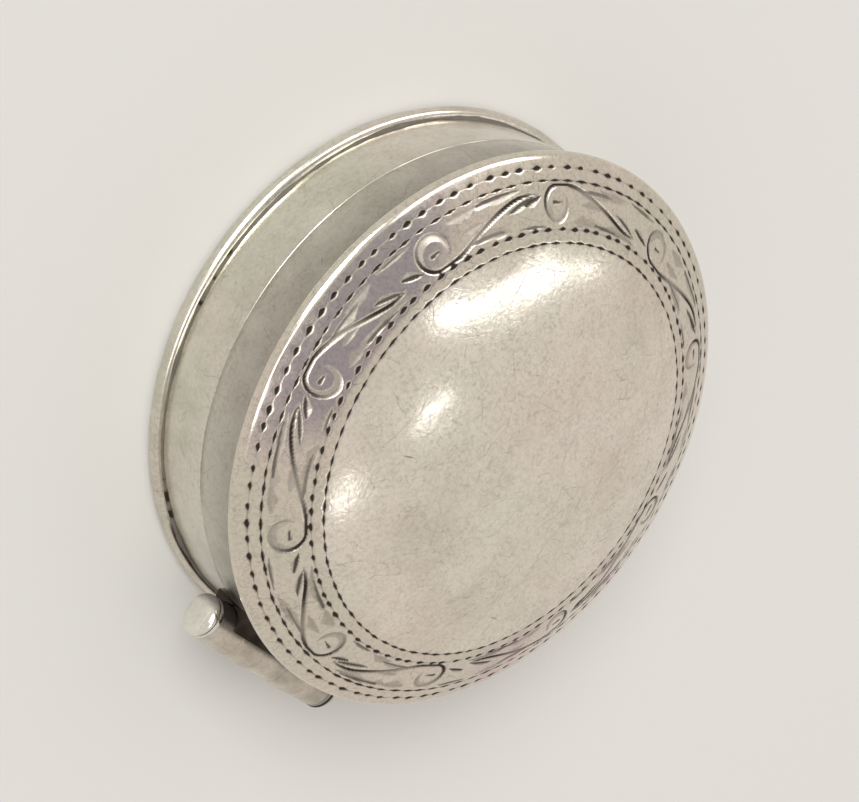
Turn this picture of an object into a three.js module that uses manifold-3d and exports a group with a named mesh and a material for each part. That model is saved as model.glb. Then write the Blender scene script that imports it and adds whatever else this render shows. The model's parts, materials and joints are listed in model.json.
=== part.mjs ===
// A round silver pill box with a domed lid on a barrel hinge. Millimetres, +Z up.
// The origin is the centre of the base's flat underside. The hinge is at the back, on +Y, and the
// lid is closed. Every round part is turned about Z, and the hinge's parts are turned about X.

import * as THREE from "three";
import { mergeVertices } from "three/addons/utils/BufferGeometryUtils.js";
import Module from "manifold-3d";

const wasm = await Module();
wasm.setup();

// The two rims and the two bands between them
const RIM_RADIUS = 17;
const RIM_THICKNESS = 0.85;
const BAND_RADIUS = 16.4;
const BAND_THICKNESS = 0.6;
const SEAM_HEIGHT = 4.87;
const SEAM_GAP = 0.06;
const LID_RIM_HEIGHT = 8.33;

// The base's floor, inside the step that its band stands on
const FLOOR_THICKNESS = 0.5;
const FLOOR_RADIUS = 14.9;
const FLOOR_STEP_WIDTH = 0.2;

// The lid's cover: an engraved border on one sphere, round a plain dome on a flatter one
const APEX_HEIGHT = 12.5;
const DOME_RADIUS = 12.9;
const BORDER_SPHERE_RADIUS = 37.2;
const COVER_THICKNESS = 0.5;
const COVER_HOLLOW_RADIUS = 15.5;

// The collar inside the base, which the lid closes over
const COLLAR_THICKNESS = 0.5;
const COLLAR_RISE = 1.1;
const COLLAR_CLEARANCE = 0.06;
const COLLAR_CHAMFER = 0.2;

// The hinge: five knuckles on one pin, with a domed cap on each end
const HINGE_OFFSET = 17.35;
const KNUCKLE_RADIUS = 1.32;
const KNUCKLE_LENGTH = 2.08;
const KNUCKLE_GAP = 0.05;
const KNUCKLE_NAMES = [
  "base_knuckle_left",
  "lid_knuckle_left",
  "base_knuckle_centre",
  "lid_knuckle_right",
  "base_knuckle_right",
];
const BARREL_CLEARANCE = 0.05;
const PIN_RADIUS = 0.45;
const PIN_CLEARANCE = 0.05;
const CAP_RADIUS = 1.34;
const CAP_COLLAR_WIDTH = 0.3;
const CAP_DOME_HEIGHT = 0.65;
const CAP_GAP = 0.02;
const BEARER_LENGTH = 8.6;
const BEARER_DEPTH = 1.72;
const BEARER_REACH = 17.05;
const BEARER_TOE = 16.6;
const BEARER_BACK = 14.6;
const BEARER_LIP = 1.41;

// How finely round shapes are faceted
const TURN_SEGMENTS = 72;
const HINGE_SEGMENTS = 24;
const RIM_ARC_STEPS = 6;
const BORDER_STEPS = 4;
const DOME_STEPS = 6;
const CAP_DOME_STEPS = 6;
const MERGE_DISTANCE = 1e-4;

const BAND_INNER_RADIUS = BAND_RADIUS - BAND_THICKNESS;
const BARREL_LENGTH =
  KNUCKLE_NAMES.length * KNUCKLE_LENGTH + (KNUCKLE_NAMES.length - 1) * KNUCKLE_GAP;

function silver(colour, roughness) {
  return new THREE.MeshStandardMaterial({ color: colour, roughness, metalness: 1 });
}

const coverSilver = () => silver(0xd6cec2, 0.28);
const bandSilver = () => silver(0xbdb6a8, 0.34);
const collarSilver = () => silver(0xcfc8bb, 0.3);
const hingeSilver = () => silver(0xc4bcae, 0.3);
const pinMetal = () => silver(0xb3a27a, 0.45);

function named(name, geometry, material) {
  const mesh = new THREE.Mesh(geometry, material);
  mesh.name = name;
  return mesh;
}

function point(radius, height) {
  return new THREE.Vector2(radius, height);
}

// A profile of radius and height, turned about Z.
function turnedAboutZ(profile) {
  return new THREE.LatheGeometry(profile, TURN_SEGMENTS).rotateX(Math.PI / 2);
}

// A profile of radius and distance, turned about the X axis of the hinge.
function turnedAboutHinge(profile) {
  return new THREE.LatheGeometry(profile, HINGE_SEGMENTS)
    .rotateZ(-Math.PI / 2)
    .translate(0, HINGE_OFFSET, SEAM_HEIGHT);
}

function ringProfile(innerRadius, outerRadius, bottom, top) {
  return [
    point(outerRadius, bottom),
    point(outerRadius, top),
    point(innerRadius, top),
    point(innerRadius, bottom),
    point(outerRadius, bottom),
  ];
}

function rodProfile(radius, start, end) {
  return [point(0, start), point(radius, start), point(radius, end), point(0, end)];
}

function solidOf(geometry) {
  const bare = geometry.clone();
  bare.deleteAttribute("normal");
  bare.deleteAttribute("uv");
  const merged = mergeVertices(bare, MERGE_DISTANCE);
  const mesh = new wasm.Mesh({
    numProp: 3,
    vertProperties: merged.attributes.position.array,
    triVerts: new Uint32Array(merged.index.array),
  });
  return new wasm.Manifold(mesh);
}

function geometryOf(solid) {
  const { vertProperties, triVerts } = solid.getMesh();
  const geometry = new THREE.BufferGeometry();
  geometry.setAttribute("position", new THREE.BufferAttribute(vertProperties, 3));
  geometry.setIndex(new THREE.BufferAttribute(triVerts, 1));
  geometry.computeVertexNormals();
  return geometry;
}

// The rounded edge of a rim: a half circle from its lowest point to the angle where it ends,
// both measured from the horizontal.
function rimEdge(bottom, endAngle) {
  const edgeRadius = RIM_THICKNESS / 2;
  const points = [];
  for (let step = 0; step <= RIM_ARC_STEPS; step += 1) {
    const angle = THREE.MathUtils.lerp(-Math.PI / 2, endAngle, step / RIM_ARC_STEPS);
    points.push(
      point(
        RIM_RADIUS - edgeRadius + edgeRadius * Math.cos(angle),
        bottom + edgeRadius + edgeRadius * Math.sin(angle),
      ),
    );
  }
  return points;
}

// The border's sphere is tangent to the rim's rounded edge, at this angle and radius.
const rimEdgeCentre = point(RIM_RADIUS - RIM_THICKNESS / 2, LID_RIM_HEIGHT + RIM_THICKNESS / 2);
const borderSlope = Math.asin(rimEdgeCentre.x / (BORDER_SPHERE_RADIUS - RIM_THICKNESS / 2));
const borderRadius = BORDER_SPHERE_RADIUS * Math.sin(borderSlope);
const borderSphereCentre =
  rimEdgeCentre.y - (BORDER_SPHERE_RADIUS - RIM_THICKNESS / 2) * Math.cos(borderSlope);

function borderHeight(radius) {
  return borderSphereCentre + Math.sqrt(BORDER_SPHERE_RADIUS ** 2 - radius ** 2);
}

function domeHeight(radius) {
  const rise = APEX_HEIGHT - borderHeight(DOME_RADIUS);
  const sphereRadius = (DOME_RADIUS ** 2 + rise ** 2) / (2 * rise);
  return APEX_HEIGHT - sphereRadius + Math.sqrt(sphereRadius ** 2 - radius ** 2);
}

function basePlate() {
  const stepRadius = FLOOR_RADIUS + FLOOR_STEP_WIDTH;
  return turnedAboutZ([
    point(0, 0),
    ...rimEdge(0, Math.PI / 2),
    point(stepRadius, RIM_THICKNESS),
    point(FLOOR_RADIUS, FLOOR_THICKNESS),
    point(0, FLOOR_THICKNESS),
  ]);
}

// The round hollow that the barrel of the hinge lies in, along the seam.
function barrelHollow() {
  const reach = BARREL_LENGTH / 2;
  const radius = KNUCKLE_RADIUS + BARREL_CLEARANCE;
  return solidOf(turnedAboutHinge(rodProfile(radius, -reach, reach)));
}

function band(bottom, top) {
  const ring = turnedAboutZ(ringProfile(BAND_INNER_RADIUS, BAND_RADIUS, bottom, top));
  return geometryOf(solidOf(ring).subtract(barrelHollow()));
}

function collar() {
  const top = SEAM_HEIGHT + COLLAR_RISE;
  const shoulder = SEAM_HEIGHT - SEAM_GAP / 2;
  const innerRadius = BAND_INNER_RADIUS - COLLAR_THICKNESS;
  const closingRadius = BAND_INNER_RADIUS - COLLAR_CLEARANCE;
  return turnedAboutZ([
    point(BAND_INNER_RADIUS, RIM_THICKNESS),
    point(BAND_INNER_RADIUS, shoulder - COLLAR_CLEARANCE),
    point(closingRadius, shoulder),
    point(closingRadius, top - COLLAR_CHAMFER),
    point(closingRadius - COLLAR_CHAMFER, top),
    point(innerRadius, top),
    point(innerRadius, RIM_THICKNESS),
    point(BAND_INNER_RADIUS, RIM_THICKNESS),
  ]);
}

function cover() {
  const underside = [];
  for (let step = 0; step < DOME_STEPS; step += 1) {
    const radius = (DOME_RADIUS * step) / DOME_STEPS;
    underside.push(point(radius, domeHeight(radius) - COVER_THICKNESS));
  }
  for (const radius of [DOME_RADIUS, COVER_HOLLOW_RADIUS]) {
    underside.push(point(radius, borderHeight(radius) - COVER_THICKNESS));
  }
  underside.push(point(BAND_INNER_RADIUS, LID_RIM_HEIGHT));
  const border = [];
  for (let step = 1; step <= BORDER_STEPS; step += 1) {
    const radius = THREE.MathUtils.lerp(borderRadius, DOME_RADIUS, step / BORDER_STEPS);
    border.push(point(radius, borderHeight(radius)));
  }
  const dome = [];
  for (let step = DOME_STEPS - 1; step >= 0; step -= 1) {
    const radius = (DOME_RADIUS * step) / DOME_STEPS;
    dome.push(point(radius, domeHeight(radius)));
  }
  const edge = rimEdge(LID_RIM_HEIGHT, Math.PI / 2 - borderSlope);
  return turnedAboutZ([...underside, ...edge, ...border, ...dome]);
}

// A wedge between a band and the barrel. side is 1 for the lid's, above the seam, and -1 for the
// base's, below it.
function bearer(side) {
  const height = (distance) => SEAM_HEIGHT + side * distance;
  const outline = new THREE.Shape([
    point(BEARER_BACK, height(SEAM_GAP / 2)),
    point(BEARER_REACH, height(SEAM_GAP / 2)),
    point(BEARER_REACH, height(BEARER_LIP)),
    point(BEARER_TOE, height(BEARER_DEPTH)),
    point(BEARER_BACK, height(BEARER_DEPTH)),
  ]);
  const blank = new THREE.ExtrudeGeometry(outline, { depth: BEARER_LENGTH, bevelEnabled: false });
  const alongHinge = new THREE.Matrix4().makeBasis(
    new THREE.Vector3(0, 1, 0),
    new THREE.Vector3(0, 0, 1),
    new THREE.Vector3(1, 0, 0),
  );
  blank.translate(0, 0, -BEARER_LENGTH / 2).applyMatrix4(alongHinge);
  const insideBand = solidOf(turnedAboutZ(rodProfile(BAND_RADIUS, 0, APEX_HEIGHT)));
  return geometryOf(solidOf(blank).subtract(insideBand).subtract(barrelHollow()));
}

function knuckle(index) {
  const start = -BARREL_LENGTH / 2 + index * (KNUCKLE_LENGTH + KNUCKLE_GAP);
  const bore = PIN_RADIUS + PIN_CLEARANCE;
  return turnedAboutHinge(ringProfile(bore, KNUCKLE_RADIUS, start, start + KNUCKLE_LENGTH));
}

function pin() {
  return turnedAboutHinge(rodProfile(PIN_RADIUS, -BARREL_LENGTH / 2, BARREL_LENGTH / 2));
}

// A short collar with a domed end, on the right-hand end of the barrel.
function endCap() {
  const start = BARREL_LENGTH / 2 + CAP_GAP;
  const domeStart = start + CAP_COLLAR_WIDTH;
  const profile = [point(0, start), point(CAP_RADIUS, start)];
  for (let step = 0; step <= CAP_DOME_STEPS; step += 1) {
    const angle = (Math.PI / 2) * (step / CAP_DOME_STEPS);
    const radius = step === CAP_DOME_STEPS ? 0 : CAP_RADIUS * Math.cos(angle);
    profile.push(point(radius, domeStart + CAP_DOME_HEIGHT * Math.sin(angle)));
  }
  return turnedAboutHinge(profile);
}

// Turned half round about Z through the middle of the hinge, the cap fits the left-hand end.
function oppositeEnd(geometry) {
  return geometry.clone().translate(0, -HINGE_OFFSET, 0).rotateZ(Math.PI).translate(0, HINGE_OFFSET, 0);
}

function baseAssembly() {
  const base = new THREE.Group();
  base.add(named("base_plate", basePlate(), bandSilver()));
  base.add(named("base_band", band(RIM_THICKNESS, SEAM_HEIGHT - SEAM_GAP / 2), bandSilver()));
  base.add(named("inner_collar", collar(), collarSilver()));
  base.add(named("base_hinge_bearer", bearer(-1), hingeSilver()));
  return base;
}

function lidAssembly() {
  const lid = new THREE.Group();
  lid.add(named("lid_cover", cover(), coverSilver()));
  lid.add(named("lid_band", band(SEAM_HEIGHT + SEAM_GAP / 2, LID_RIM_HEIGHT), bandSilver()));
  lid.add(named("lid_hinge_bearer", bearer(1), hingeSilver()));
  return lid;
}

function hingeAssembly() {
  const hinge = new THREE.Group();
  KNUCKLE_NAMES.forEach((name, index) => hinge.add(named(name, knuckle(index), hingeSilver())));
  hinge.add(named("hinge_pin", pin(), pinMetal()));
  hinge.add(named("hinge_cap_right", endCap(), hingeSilver()));
  hinge.add(named("hinge_cap_left", oppositeEnd(endCap()), hingeSilver()));
  return hinge;
}

const pillBox = new THREE.Group();
pillBox.add(baseAssembly(), lidAssembly(), hingeAssembly());

export default pillBox;
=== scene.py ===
# The looks of the round silver pill box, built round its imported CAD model.
# Lengths in this script are millimetres in the row frame: the base rests on z = 0, the dome of the
# lid faces +Z and the hinge is on +Y. They turn into metres when a mesh is made.

import json
import math

import bmesh
import bpy
import numpy as np
from mathutils import Matrix, Vector


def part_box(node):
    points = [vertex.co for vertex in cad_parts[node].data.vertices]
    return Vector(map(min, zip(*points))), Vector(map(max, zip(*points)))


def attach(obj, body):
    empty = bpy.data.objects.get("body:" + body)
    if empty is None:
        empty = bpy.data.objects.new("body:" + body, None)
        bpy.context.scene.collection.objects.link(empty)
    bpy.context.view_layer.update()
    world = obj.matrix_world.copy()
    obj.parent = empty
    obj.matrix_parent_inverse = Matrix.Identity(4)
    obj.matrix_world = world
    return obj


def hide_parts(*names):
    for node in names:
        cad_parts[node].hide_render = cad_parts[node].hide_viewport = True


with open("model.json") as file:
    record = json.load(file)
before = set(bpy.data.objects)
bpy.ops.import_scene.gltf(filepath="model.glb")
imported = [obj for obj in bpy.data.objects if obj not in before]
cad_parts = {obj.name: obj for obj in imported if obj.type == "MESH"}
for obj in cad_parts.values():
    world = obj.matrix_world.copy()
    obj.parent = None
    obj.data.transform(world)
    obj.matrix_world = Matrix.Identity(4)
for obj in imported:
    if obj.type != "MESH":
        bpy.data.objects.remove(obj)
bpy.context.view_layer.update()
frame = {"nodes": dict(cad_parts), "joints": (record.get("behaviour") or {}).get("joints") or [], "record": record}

MM = 0.001


# ---- Sizes, from the frame ----

def node_box(node):
    """Lowest and highest corner of a CAD node, in millimetres."""
    low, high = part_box(node)
    return np.array(low) / MM, np.array(high) / MM


plate_low, plate_high = node_box("base_plate")
cover_low, cover_high = node_box("lid_cover")
knuckle_low, knuckle_high = node_box("base_knuckle_centre")
HINGE_Y, HINGE_Z = (value / MM for value in frame["joints"][0]["pos_m"][1:])

RIM_RADIUS = cover_high[0]
RIM_THICKNESS = plate_high[2] - plate_low[2]
EDGE_RADIUS = RIM_THICKNESS / 2
BAND_RADIUS = node_box("lid_band")[1][0]
SEAM_BOTTOM = node_box("base_band")[1][2]
LID_RIM_BOTTOM = cover_low[2]
APEX_HEIGHT = cover_high[2]
COLLAR_RADIUS, _, COLLAR_TOP = node_box("inner_collar")[1]
KNUCKLE_RADIUS = (knuckle_high[2] - knuckle_low[2]) / 2
BEARER_HALF_LENGTH, BEARER_REACH, _ = node_box("lid_hinge_bearer")[1]

# Sizes that no box shows, the same as the CAD solids have
BAND_THICKNESS = 0.6
COLLAR_THICKNESS = 0.5
COLLAR_CLEARANCE = 0.06
COLLAR_CHAMFER = 0.2
FLOOR_RADIUS = 14.9
FLOOR_THICKNESS = 0.5
COVER_THICKNESS = 0.5
COVER_HOLLOW_RADIUS = 15.5
BORDER_SPHERE_RADIUS = 37.2
DOME_RADIUS = 12.9
PIN_BORE_RADIUS = 0.5
BARREL_HOLLOW_RADIUS = 1.37
BARREL_HALF_LENGTH = 5.3
BEARER_LIP = 1.41
BEARER_DEPTH = 1.72

BAND_INNER_RADIUS = BAND_RADIUS - BAND_THICKNESS

# The flat face of a rim reaches out to about here
RIM_FLAT_RADIUS = 16.3


# ---- Meshes ----

def make_piece(name, points, faces, material, body, slot, **attributes):
    """A smooth closed mesh from points in millimetres, riding on a CAD body. Each attribute holds
    one value for each point, for the material to read."""
    mesh = bpy.data.meshes.new(name)
    mesh.from_pydata((np.asarray(points, float) * MM).tolist(), [], faces)
    for key, values in attributes.items():
        layer = mesh.attributes.new(key, "FLOAT", "POINT")
        layer.data.foreach_set("value", np.asarray(values, np.float32))
    shell = bmesh.new()
    shell.from_mesh(mesh)
    bmesh.ops.recalc_face_normals(shell, faces=shell.faces)
    shell.to_mesh(mesh)
    shell.free()
    mesh.shade_smooth()
    mesh.materials.append(material)
    piece = bpy.data.objects.new(name, mesh)
    bpy.context.scene.collection.objects.link(piece)
    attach(piece, body)
    return piece


def body_of(node):
    """The body that a CAD node belongs to."""
    bodies = frame["record"]["behaviour"]["bodies"]
    return next(body for body, nodes in bodies.items() if node in nodes)


def replace_node(node, points, faces, material, slot, **attributes):
    """A piece that stands for one CAD node, on the node's own body."""
    body = body_of(node)
    piece = make_piece(node + "_silver", points, faces, material, body, slot, **attributes)
    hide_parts(node)


# How far a support point is from its corner, as a share of the arc's own reach
SUPPORT_REACH = 1.35


def rounded(corners, steps=4):
    """An outline from corners (x, y, radius), each with an arc and a support point on each side."""
    outline = []
    count = len(corners)
    for index, (x, y, radius) in enumerate(corners):
        corner = np.array([x, y], float)
        if radius == 0:
            outline.append(corner)
            continue
        back = np.array(corners[index - 1][:2]) - corner
        ahead = np.array(corners[(index + 1) % count][:2]) - corner
        back /= np.linalg.norm(back)
        ahead /= np.linalg.norm(ahead)
        half = math.acos(np.clip(back @ ahead, -1, 1)) / 2
        middle = (back + ahead) / np.linalg.norm(back + ahead)
        centre = corner + middle * radius / math.sin(half)
        reach = radius / math.tan(half)
        start, end = corner + back * reach - centre, corner + ahead * reach - centre
        sweep = math.pi - 2 * half
        outline.append(corner + back * reach * SUPPORT_REACH)
        for step in range(steps + 1):
            share = step / steps
            arc = math.sin((1 - share) * sweep) * start + math.sin(share * sweep) * end
            outline.append(centre + arc / math.sin(sweep))
        outline.append(corner + ahead * reach * SUPPORT_REACH)
    return np.array(outline)


def arc(centre, radius, start, end, steps):
    """Points on an arc, its angles in degrees."""
    angles = np.radians(np.linspace(start, end, steps + 1))
    return np.stack([centre[0] + radius * np.cos(angles), centre[1] + radius * np.sin(angles)], 1)


def subdivided(outline, longest):
    """A closed outline with extra points, so that no step is longer than longest."""
    points = []
    for start, end in zip(outline, np.roll(outline, -1, axis=0)):
        pieces = max(1, math.ceil(np.linalg.norm(end - start) / longest))
        points += [start + (end - start) * step / pieces for step in range(pieces)]
    return np.array(points)


def circle(radius, height, count):
    """One ring of points round Z. radius and height may be numbers or one value for each point."""
    angles = np.arange(count) * 2 * math.pi / count
    heights = np.broadcast_to(height, count)
    return np.stack([radius * np.cos(angles), radius * np.sin(angles), heights], 1)


def bridge(first, count, second, next_count):
    """Faces between two rings that start at points first and second. One may have half the points."""
    faces = []
    if count == next_count:
        for k in range(count):
            after = (k + 1) % count
            faces.append((first + k, second + k, second + after, first + after))
    elif next_count == 2 * count:
        for k in range(count):
            after, far = (k + 1) % count, (2 * k + 2) % next_count
            corners = (second + 2 * k, second + 2 * k + 1, second + far)
            faces.append((first + k, *corners, first + after))
    else:
        for k in range(next_count):
            after, far = (k + 1) % next_count, (2 * k + 2) % count
            corners = (first + far, first + 2 * k + 1, first + 2 * k)
            faces.append((*corners, second + k, second + after))
    return faces


def ring_tube(rings):
    """A body from rings whose last one meets the first."""
    starts = np.cumsum([0] + [len(ring) for ring in rings])
    faces = []
    for index, ring in enumerate(rings):
        following = (index + 1) % len(rings)
        faces += bridge(starts[index], len(ring), starts[following], len(rings[following]))
    return np.vstack(rings), faces


def ring_stack(rings, first_tip, last_tip):
    """A body from rings, closed by a point at each end."""
    starts = np.cumsum([0] + [len(ring) for ring in rings])
    faces = []
    for index in range(len(rings) - 1):
        faces += bridge(starts[index], len(rings[index]), starts[index + 1], len(rings[index + 1]))
    points = np.vstack([*rings, first_tip, last_tip])
    first, last = starts[-1], starts[-1] + 1
    count, end, end_count = len(rings[0]), starts[-2], len(rings[-1])
    faces += [(first, k, (k + 1) % count) for k in range(count)]
    faces += [(last, end + (k + 1) % end_count, end + k) for k in range(end_count)]
    return points, faces


def turned(outline, count):
    """A closed outline of (radius, z), turned about Z."""
    return ring_tube([circle(radius, height, count) for radius, height in outline])


def turned_solid(outline, count):
    """An outline of (radius, z) from the axis back to the axis, turned about Z."""
    rings = [circle(radius, height, count) for radius, height in outline[1:-1]]
    return ring_stack(rings, (0, 0, outline[0][1]), (0, 0, outline[-1][1]))


def along_hinge(points):
    """Points turned about Z, laid along the axis of the hinge: their z becomes x."""
    return np.stack([points[:, 2], HINGE_Y + points[:, 0], HINGE_Z + points[:, 1]], 1)


WAVE_COUNT = 16
SHORTEST_WAVE, LONGEST_WAVE = 0.7, 1.8


def noise(points, size, seed):
    """Smooth noise over points, about -1 to 1, with features of about size: a sum of waves."""
    random = np.random.default_rng(seed)
    sum_of_waves = np.zeros(len(points))
    for _ in range(WAVE_COUNT):
        heading = random.normal(size=3)
        heading /= np.linalg.norm(heading)
        length = 2 * size * random.uniform(SHORTEST_WAVE, LONGEST_WAVE)
        phase = random.uniform(0, 2 * math.pi)
        sum_of_waves += np.sin(points @ heading * 2 * math.pi / length + phase)
    return sum_of_waves / math.sqrt(WAVE_COUNT)


def hand_made(points, amount, size, seed):
    """Points moved outwards from Z a little unevenly, as on a box that was made by hand."""
    moved = points.copy()
    radii = np.hypot(points[:, 0], points[:, 1])
    moved[:, :2] *= (1 + amount * noise(points, size, seed) / np.maximum(radii, 1))[:, None]
    return moved


def clear_of_barrel(points):
    """Points pushed out of the round hollow that the hinge's barrel lies in."""
    moved = points.copy()
    drop = BARREL_HOLLOW_RADIUS**2 - (points[:, 2] - HINGE_Z) ** 2
    wall = HINGE_Y - np.sqrt(np.maximum(drop, 0))
    inside = (drop > 0) & (points[:, 1] > wall) & (abs(points[:, 0]) < BARREL_HALF_LENGTH)
    moved[inside, 1] = wall[inside]
    return moved


def soft_step(values):
    """0 below 0, 1 above 1 and a smooth rise between."""
    share = np.clip(values, 0, 1)
    return share * share * (3 - 2 * share)


# ---- Materials ----

def add(tree, kind, values=None, **settings):
    """A node with its settings, and with a number or another node's output on each socket named."""
    node = tree.nodes.new(kind)
    for key, value in settings.items():
        setattr(node, key, value)
    for key, value in (values or {}).items():
        if isinstance(value, bpy.types.NodeSocket):
            tree.links.new(value, node.inputs[key])
        else:
            node.inputs[key].default_value = value
    return node


def maths(tree, operation, first, second=0.0):
    """One sum on two values."""
    return add(tree, "ShaderNodeMath", {0: first, 1: second}, operation=operation).outputs[0]


def vector_maths(tree, operation, first, second):
    """One sum on two vectors."""
    node = add(tree, "ShaderNodeVectorMath", {0: first, 1: second}, operation=operation)
    return node.outputs["Value" if operation == "DOT_PRODUCT" else "Vector"]


def ramp(tree, value, low, high, start=0.0, end=1.0):
    """A smooth change from start to end as value goes from low to high."""
    inputs = {0: value, 1: low, 2: high, 3: start, 4: end}
    return add(tree, "ShaderNodeMapRange", inputs, interpolation_type="SMOOTHSTEP").outputs[0]


def mixed_colour(tree, share, first, second):
    """A mix of two colours: the first where share is 0, the second where it is 1."""
    values = {0: share, 6: first, 7: second}
    return add(tree, "ShaderNodeMix", values, data_type="RGBA").outputs[2]


def multiplied(tree, first, second):
    """Two colours multiplied."""
    values = {0: 1.0, 6: first, 7: second}
    return add(tree, "ShaderNodeMix", values, data_type="RGBA", blend_type="MULTIPLY").outputs[2]


def attribute(tree, name):
    """A value that the mesh holds for each point, or 0 if it holds none of this name."""
    return add(tree, "ShaderNodeAttribute", attribute_name=name).outputs["Fac"]


def millimetres(tree):
    """Object coordinates in millimetres."""
    coordinates = add(tree, "ShaderNodeTexCoord").outputs["Object"]
    scaled = add(tree, "ShaderNodeVectorMath", {0: coordinates, "Scale": 1 / MM}, operation="SCALE")
    return scaled.outputs[0]


def cloud(tree, place, size, detail=3.0, roughness=0.5, offset=0.0):
    """Noise with features of about size millimetres. Another offset gives another pattern."""
    moved = vector_maths(tree, "ADD", place, (offset, offset * 0.7, -offset))
    values = {"Vector": moved, "Scale": 0.5 / size, "Detail": detail, "Roughness": roughness}
    return add(tree, "ShaderNodeTexNoise", values).outputs["Fac"]


def hairlines(tree, place, size, width, spread, offset, middle=0.15, end=0.55):
    """Short straight scratches, one in each cell of about size millimetres. spread says which way
    the planes that cut them may face. They fade from middle to end, as shares of the size."""
    moved = vector_maths(tree, "ADD", place, (offset, -offset, offset * 0.5))
    cells = add(tree, "ShaderNodeTexVoronoi", {"Vector": moved, "Scale": 1 / size})
    random = vector_maths(tree, "SUBTRACT", cells.outputs["Color"], (0.5, 0.5, 0.5))
    heading = vector_maths(tree, "MULTIPLY", random, spread)
    heading = add(tree, "ShaderNodeVectorMath", {0: heading}, operation="NORMALIZE").outputs[0]
    away = vector_maths(tree, "SUBTRACT", moved, cells.outputs["Position"])
    gap = maths(tree, "ABSOLUTE", vector_maths(tree, "DOT_PRODUCT", away, heading))
    line = ramp(tree, gap, 0, width, 1, 0)
    fade = ramp(tree, cells.outputs["Distance"], middle, end, 1, 0)
    return maths(tree, "MULTIPLY", line, fade)


def total(tree, *parts):
    """The sum of (amount, value) pairs."""
    result = 0.0
    for amount, value in parts:
        share = maths(tree, "MULTIPLY", value, amount)
        result = maths(tree, "ADD", share, result)
    return result


def wavered(tree, place):
    """Coordinates bent a little, so that a straight scratch drawn in them wavers."""
    values = {"Vector": place, "Scale": 1.1, "Detail": 1.0}
    waves = add(tree, "ShaderNodeTexNoise", values).outputs["Color"]
    waves = vector_maths(tree, "SUBTRACT", waves, (0.5, 0.5, 0.5))
    waves = vector_maths(tree, "MULTIPLY", waves, (0.5, 0.5, 0.5))
    return vector_maths(tree, "ADD", place, waves)


def fine_veins(tree, place, seed):
    """Thin winding lines, in patches."""
    ridges = maths(tree, "SUBTRACT", cloud(tree, place, 0.30, 2, 0.5, seed + 50), 0.5)
    patches = ramp(tree, cloud(tree, place, 0.9, 2, 0.5, seed + 60), 0.38, 0.56)
    veins = ramp(tree, maths(tree, "ABSOLUTE", ridges), 0, 0.04, 1, 0)
    return maths(tree, "MULTIPLY", veins, patches)


def scratched(tree, place, spread, seed):
    """Long, short and fine scratches together."""
    long_scratches = hairlines(tree, place, 2.6, 0.045, spread, seed)
    short_scratches = hairlines(tree, place, 1.1, 0.038, spread, seed + 7)
    fine_scratches = hairlines(tree, place, 0.55, 0.028, spread, seed + 13)
    return total(tree, (0.8, long_scratches), (0.6, short_scratches), (0.5, fine_scratches))


# Near black: the colour of tarnish in cuts, pits and joints, and of painted shade in the gaps round the hinge and
# under the lid's rim
TARNISH_AND_SHADE = (0.022, 0.015, 0.011, 1)
WARM_TINT = (1.0, 0.975, 0.97, 1)
COOL_TINT = (0.97, 0.985, 0.955, 1)
# The pink of a painted reflection on the border
ROSE = (0.62, 0.42, 0.46, 1)
TARNISH_SHINE = 0.15
# The height of the grain and scratches, in millimetres
BUMP_HEIGHT = 0.0035


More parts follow.
